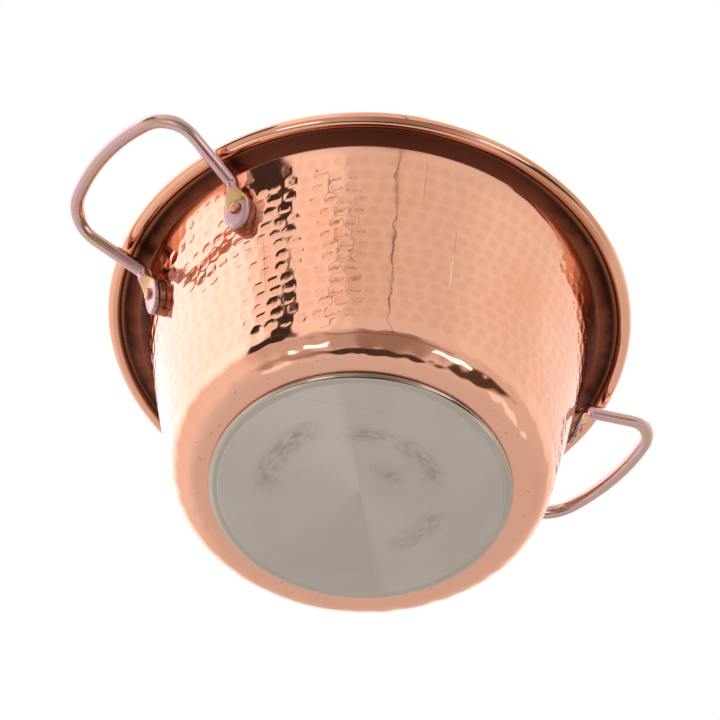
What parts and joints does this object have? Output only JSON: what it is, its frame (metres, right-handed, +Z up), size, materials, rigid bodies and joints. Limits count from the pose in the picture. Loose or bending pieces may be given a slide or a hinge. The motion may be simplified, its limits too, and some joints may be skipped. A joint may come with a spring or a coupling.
{
  "type": "polenta pot",
  "caption": "Tapered hammered-copper polenta pot with a flanged and rolled rim, riveted loop handles and a flat steel base for induction hobs.",
  "frame": {"origin": "centre of the steel base's underside, where the pot stands on the hob", "axes": "+Z up along the pot's axis, through the open mouth; +X through the middle of one handle's grip, -X through the other's; +Y along the plain side between the handles"},
  "size_m": [0.3556, 0.2798, 0.1377],
  "materials": {
    "copper": "hammered and polished copper",
    "base_steel": "satin",
    "handle_steel": "iridescent zinc plating",
    "core_aluminium": "plain, enclosed",
    "wire_steel": "plain, enclosed"
  },
  "bodies": {
    "root": {"copper_body": "copper", "rim_wire": "wire_steel", "base_core": "core_aluminium", "base_cap": "base_steel", "handle_left": "handle_steel", "handle_right": "handle_steel", "pad_left_front": "copper", "pad_left_back": "copper", "pad_right_front": "copper", "pad_right_back": "copper", "rivet_left_front": "copper", "rivet_left_back": "copper", "rivet_right_front": "copper", "rivet_right_back": "copper"}
  },
  "joints": []
}
